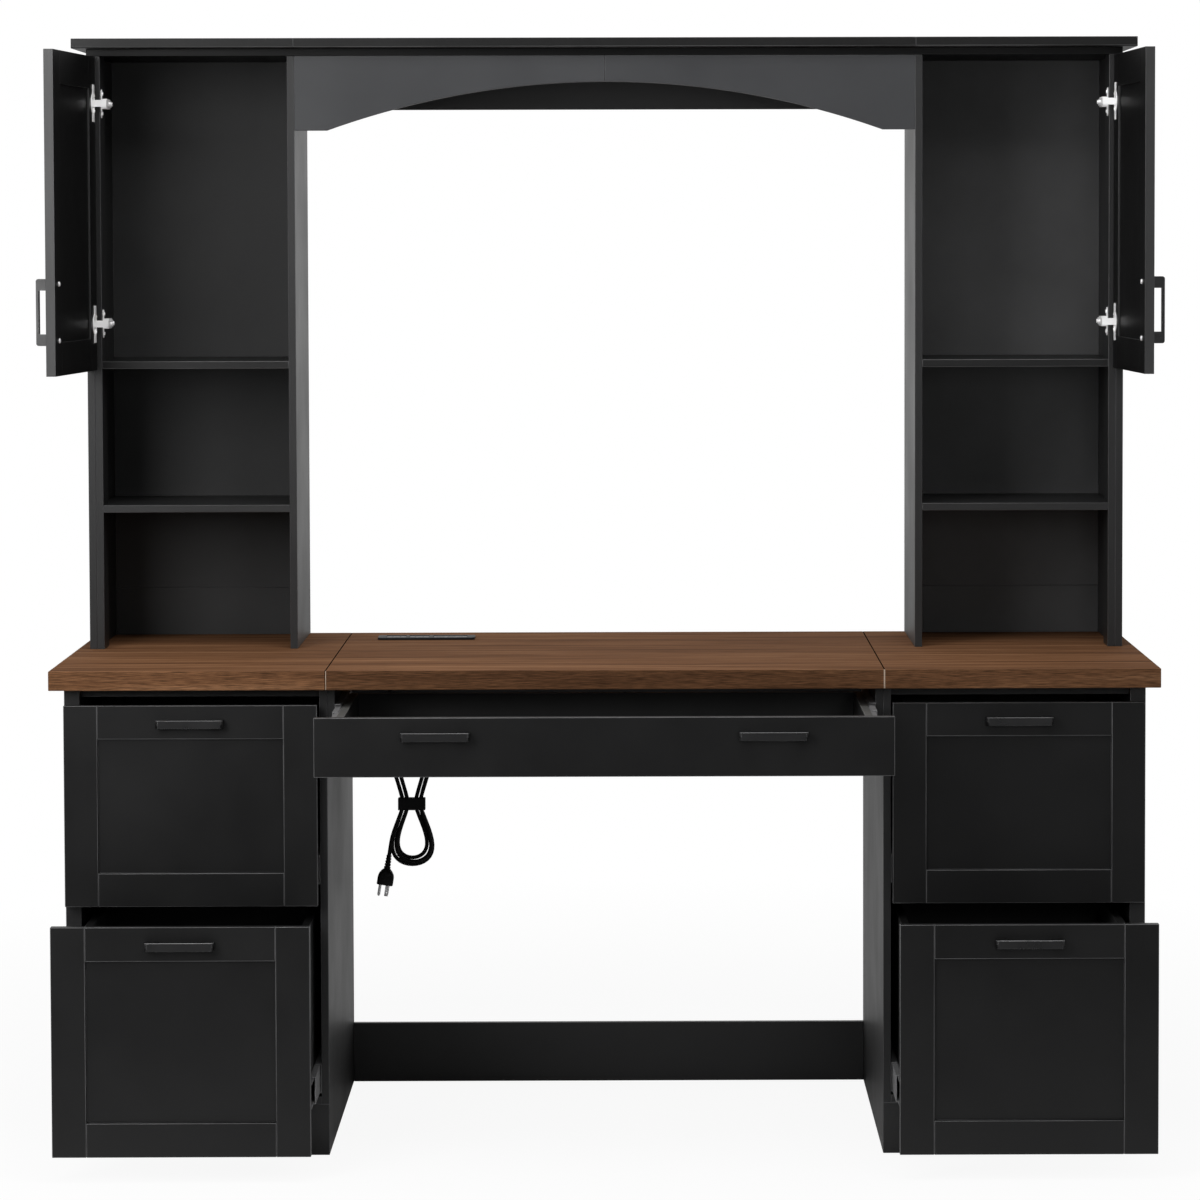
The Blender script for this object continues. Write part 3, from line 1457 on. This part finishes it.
@dataclass
class PowerCord:
    """The strip's cord: a short drop, a tied hank of three loops, and the plug."""

    diameter: float = 6.5 * MM
    strip_x: float = -0.3005
    offset_x: float = -24.5 * MM
    middle_y: float = -0.1025
    middle_z: float = 0.486
    turns: float = 3.0
    inner: float = 0.5
    waist_step: float = 7.8 * MM
    fold_step: float = 11.5 * MM
    layer_step: float = 7.4 * MM
    lobe: float = 38.0 * MM
    lobe_step: float = 16.5 * MM
    lobe_power: float = 1.3
    fall: float = 82.0 * MM
    rise: float = 108.0 * MM
    lead: float = 0.12
    tail: float = 0.105
    tail_length: float = 20.0 * MM
    way_turn: float = 0.002
    top_z: float = 0.675
    drop_points: int = 16
    turn_points: int = 60
    tie_rounding: Rounding = Rounding(width=0.5 * MM, least_edge=1.0 * MM)

    def hank_point(self, turn: float) -> Vector:
        """Gives the hank's centre line after a number of turns.

        Args:
            turn: The turns since the waist.

        Returns:
            The point.
        """
        index = self.inner + abs(turn - self.turns / 2)
        angle = 2 * math.pi * turn
        swell = abs(math.sin(angle)) ** self.lobe_power
        half = (self.lobe + self.lobe_step * index) * swell + self.waist_step * index * (1 - swell)
        reach = (self.fall if math.sin(angle) > 0 else self.rise) + self.fold_step * index
        part = min(1.0, max(0.0, 2 * (turn - self.turns / 2) + 0.5))
        climb = part * part * (3 - 2 * part)
        return Vector((self.strip_x + self.offset_x - math.cos(angle) * half,
                       self.middle_y - self.layer_step * climb, self.middle_z - reach * math.sin(angle)))

    def route(self) -> Tuple[List[Vector], Vector]:
        """Works out the cord's whole centre line.

        Returns:
            The points from the strain relief to the plug, and the direction of the last stretch.
        """
        start = self.hank_point(-self.lead)
        top = Vector((start.x, self.middle_y, self.top_z))
        foot = start + Vector((0, 0, self.diameter))
        drop = [top.lerp(foot, i / self.drop_points) for i in range(self.drop_points)]
        span = self.turns + self.lead + self.tail
        count = round(span * self.turn_points)
        hank = [self.hank_point(-self.lead + span * i / count) for i in range(count + 1)]
        way = (hank[-1] - self.hank_point(self.turns + self.tail - self.way_turn)).normalized()
        return drop + [foot] + hank + [hank[-1] + self.tail_length * way], way

    def build(self) -> Tuple[float, float]:
        """Makes the cord, its tie and its plug.

        Returns:
            The place along X and Y where the cord leaves the strain relief.
        """
        points, way = self.route()
        curve = bar_curve("power_cord", [points], False, dimensions="3D", bevel_depth=self.diameter / 2,
                          bevel_resolution=5, use_fill_caps=True)
        curve.materials.append(CORD_SHEATH.material())
        cord = link_object("power_cord", curve)
        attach(cord, "root")
        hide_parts("cord_drop", "cord_hank")
        tie = dress_node("cord_tie", [PLASTIC], self.tie_rounding)
        plug = Plug(points[-1], way).build()
        return points[0].x, points[0].y


@dataclass
class Plug:
    """The plug at the cord's end: ribbed strain relief, body, two blades and the earth pin."""

    top: Vector
    way: Vector
    relief_length: float = 24.0 * MM
    relief_top_radius: float = 4.25 * MM
    relief_radius: float = 5.5 * MM
    relief_ribs: int = 5
    width: float = 27.0 * MM
    depth: float = 20.0 * MM
    length: float = 27.0 * MM
    corner: float = 5.0 * MM
    levels: Tuple[Triple, ...] = ((0.0, 0.40, 0.55), (0.03, 0.46, 0.62), (0.16, 0.70, 0.80),
                                  (0.34, 0.92, 0.95), (0.5, 0.99, 1.0), (0.93, 1.0, 1.0),
                                  (0.98, 0.985, 0.98), (1.0, 0.95, 0.94))
    blade_length: float = 18.0 * MM
    blade_root: float = 1.0 * MM
    blade_width: float = 6.3 * MM
    blade_thickness: float = 1.5 * MM
    blade_corner: float = 1.2 * MM
    blade_edge: float = 0.2 * MM
    blade_span: float = 12.7 * MM
    blade_x: float = 5.0 * MM
    hole_radius: float = 1.6 * MM
    hole_y: float = -4.5 * MM
    pin_radius: float = 2.4 * MM
    pin_extra: float = 2.0 * MM
    pin_levels: Tuple[Pair, ...] = ((-0.05, 1.0), (0.82, 1.0), (0.92, 0.86), (0.98, 0.55), (1.0, 0.2))

    def body(self) -> Mesh:
        """Makes the body, which swells from the strain relief to its broad face.

        Returns:
            The body's mesh.
        """
        rings = []
        for level, wide, deep in self.levels:
            outline = rounded_rectangle(self.width * wide, self.depth * deep, self.corner * min(wide, deep))
            rings.append(at_height(outline, -self.relief_length - self.length * level))
        return loft("plug_body", rings)

    def prongs(self) -> List[Mesh]:
        """Makes the two blades and the earth pin.

        Returns:
            Their meshes.
        """
        face = -self.relief_length - self.length
        outline = rounded_rectangle(self.blade_width, self.blade_length + self.blade_root, self.blade_corner)
        hole = circle(self.hole_radius, 18, y=self.hole_y)
        half = self.blade_thickness / 2
        middle = face - self.blade_length / 2 + self.blade_root / 2
        made = []
        for y in (-self.blade_span / 2, self.blade_span / 2):
            blade = flat_plate("blade", outline, [hole], -half, half, self.blade_edge)
            blade.transform(Matrix.Translation((self.blade_x, y, middle)) @ Matrix.Rotation(QUARTER, 4, "X"))
            made.append(blade)
        reach = self.blade_length + self.pin_extra
        pin_x = -self.blade_x - self.pin_radius
        rings = [at_height(circle(self.pin_radius * share, RING_POINTS, x=pin_x), face - reach * level)
                 for level, share in self.pin_levels]
        return [*made, loft("earth_pin", rings)]

    def build(self) -> Piece:
        """Makes the plug at the cord's end, along the cord's direction.

        Returns:
            The plug's piece.
        """
        relief = ribbed_relief("relief", self.relief_length, self.relief_top_radius, self.relief_radius,
                               self.relief_ribs)
        parts = [(relief, CORD_SHEATH), (self.body(), PLASTIC), *((prong, STEEL) for prong in self.prongs())]
        mesh = join_meshes("plug_dressed", [(part, finish, Matrix()) for part, finish in parts])
        tilt = math.atan2(-self.way.x, -self.way.z)
        mesh.transform(Matrix.Translation(self.top) @ Matrix.Rotation(tilt, 4, "Y"))
        mesh.set_sharp_from_angle(angle=SHARP)
        return add_piece("plug_dressed", mesh, "root", replaces=["plug"])


@dataclass
class Studio:
    """The camera, the pale floor, the lamps and the surroundings."""

    photo: float = 1200.0
    camera_place: Triple = (0.04818, -7.65770, 1.43769)
    yaw: float = 0.00537
    pitch: float = 0.05449
    roll: float = -0.00242
    focal_pixels: float = 4548.7
    shift: Pair = (-0.05, -0.10)
    surroundings: float = 0.42
    floor_reach: float = 14.0

    def build(self) -> None:
        """Makes everything round the object, with a key lamp, a weak fill and a wide lamp overhead."""
        self.camera()
        self.floor()
        self.lamp("key", (-1.65, -2.9, 1.9), (-0.1, -0.3, 1.4), (1.2, 1.6), 41.0)
        self.lamp("fill", (1.0, -4.2, 1.45), (0.66, 0.0, 1.3), (0.5, 0.7), 6.0)
        self.lamp("overhead", (0.0, -1.6, 2.9), (0.0, -0.35, 1.0), (2.6, 1.2), 36.0)
        self.world()
        bpy.context.scene.view_settings.view_transform = "Standard"

    def camera(self) -> None:
        """Sets the camera at the photograph's angle."""
        data = bpy.data.cameras.new("camera")
        data.sensor_width = 36.0
        data.lens = self.focal_pixels / self.photo * data.sensor_width
        data.shift_x, data.shift_y = self.shift
        data.clip_end = 100.0
        camera = link_object("camera", data)
        turn = Matrix.Rotation(-self.yaw, 4, "Z") @ Matrix.Rotation(QUARTER - self.pitch, 4, "X")
        lean = Matrix.Rotation(self.roll, 4, "Z")
        camera.matrix_world = Matrix.Translation(self.camera_place) @ turn @ lean
        bpy.context.scene.camera = camera

    def floor(self) -> None:
        """Lays the pale floor, which fades to white away from the desk and keeps its shadow near it."""
        shape = bmesh.new()
        reach = self.floor_reach
        corners = ((-reach, -reach, 0), (reach, -reach, 0), (reach, reach, 0), (-reach, reach, 0))
        shape.faces.new([shape.verts.new(corner) for corner in corners])
        floor = link_object("floor", plain_mesh("floor", shape))
        material = bpy.data.materials.new("pale_floor")
        sketch = empty_sketch(material)
        place = sketch.place()
        tone = sketch.ramp(sketch.noise(place, 3.0), ((0.0, (0.84, 0.84, 0.84)), (1.0, (0.88, 0.88, 0.88))))
        board = sketch.node("ShaderNodeBsdfPrincipled",
                            {"Base Color": tone, "Roughness": 0.9, "Specular IOR Level": 0.1}).outputs[0]
        distance = sketch.node("ShaderNodeVectorMath", {0: place}, operation="LENGTH").outputs["Value"]
        path = sketch.node("ShaderNodeLightPath").outputs
        whiter = sketch.maths("MULTIPLY", sketch.spread(distance, 0.9, 2.4, 0.92, 1.0), path["Is Camera Ray"])
        pale = sketch.mix_shaders(whiter, board, sketch.glow("Emission", 1.0, 1.0))
        ahead = sketch.spread(sketch.split(place)[1], -2.4, -0.9, 0.9, 0.0)
        flag = sketch.maths("MULTIPLY", ahead, path["Is Glossy Ray"])
        mixed = sketch.mix_shaders(flag, pale, sketch.glow("Emission", 0.0, 0.0))
        sketch.node("ShaderNodeOutputMaterial", {"Surface": mixed})
        floor.data.materials.append(material)

    def lamp(self, name: str, place: Triple, aim: Triple, size: Pair, power: float) -> None:
        """Hangs one soft lamp.

        Args:
            name: The lamp's name.
            place: Where it hangs.
            aim: The point that it faces.
            size: Its width and height.
            power: Its power in watts.
        """
        data = bpy.data.lights.new(name, "AREA")
        data.shape = "RECTANGLE"
        data.size, data.size_y = size
        data.energy = power
        lamp = link_object(name, data)
        lamp.location = place
        lamp.rotation_euler = (Vector(aim) - Vector(place)).to_track_quat("-Z", "Y").to_euler()

    def world(self) -> None:
        """Surrounds the desk with plain light, white where the camera looks past it."""
        world = bpy.data.worlds.new("studio")
        bpy.context.scene.world = world
        sketch = empty_sketch(world)
        path = sketch.node("ShaderNodeLightPath").outputs
        behind = sketch.spread(sketch.split(sketch.place("Generated"))[1], -0.15, 0.75, 0.10, 0.78)
        plain = sketch.glow("Background", self.surroundings, 1.0)
        mirrored = sketch.glow("Background", 1.0, behind)
        inner = sketch.mix_shaders(path["Is Glossy Ray"], plain, mirrored)
        clear = sketch.maths("MAXIMUM", path["Is Camera Ray"], path["Is Transmission Ray"])
        outer = sketch.mix_shaders(clear, inner, sketch.glow("Background", 1.0, 1.0))
        sketch.node("ShaderNodeOutputWorld", {"Surface": outer})


def main() -> None:
    """Builds the studio, the cord and every sub-assembly."""
    logging.basicConfig(level=logging.INFO, format="%(name)s %(message)s")
    Studio().build()
    grip = PowerCord().build()
    PowerStrip().build(*grip)
    Desktop().build()
    Carcass().build()
    Hutch().build()
    Hinges().build()
    Slide("drawer_runners").build()
    for side, angle in ((Side.LEFT, 94.4), (Side.RIGHT, 92.4)):
        Door(side, angle).build()
        for level in ("upper", "lower"):
            Drawer(f"{side.word}_{level}").build()
    Drawer("centre", "pulls", BOX_EDGE).build()


if __name__ == "__main__":
    main()
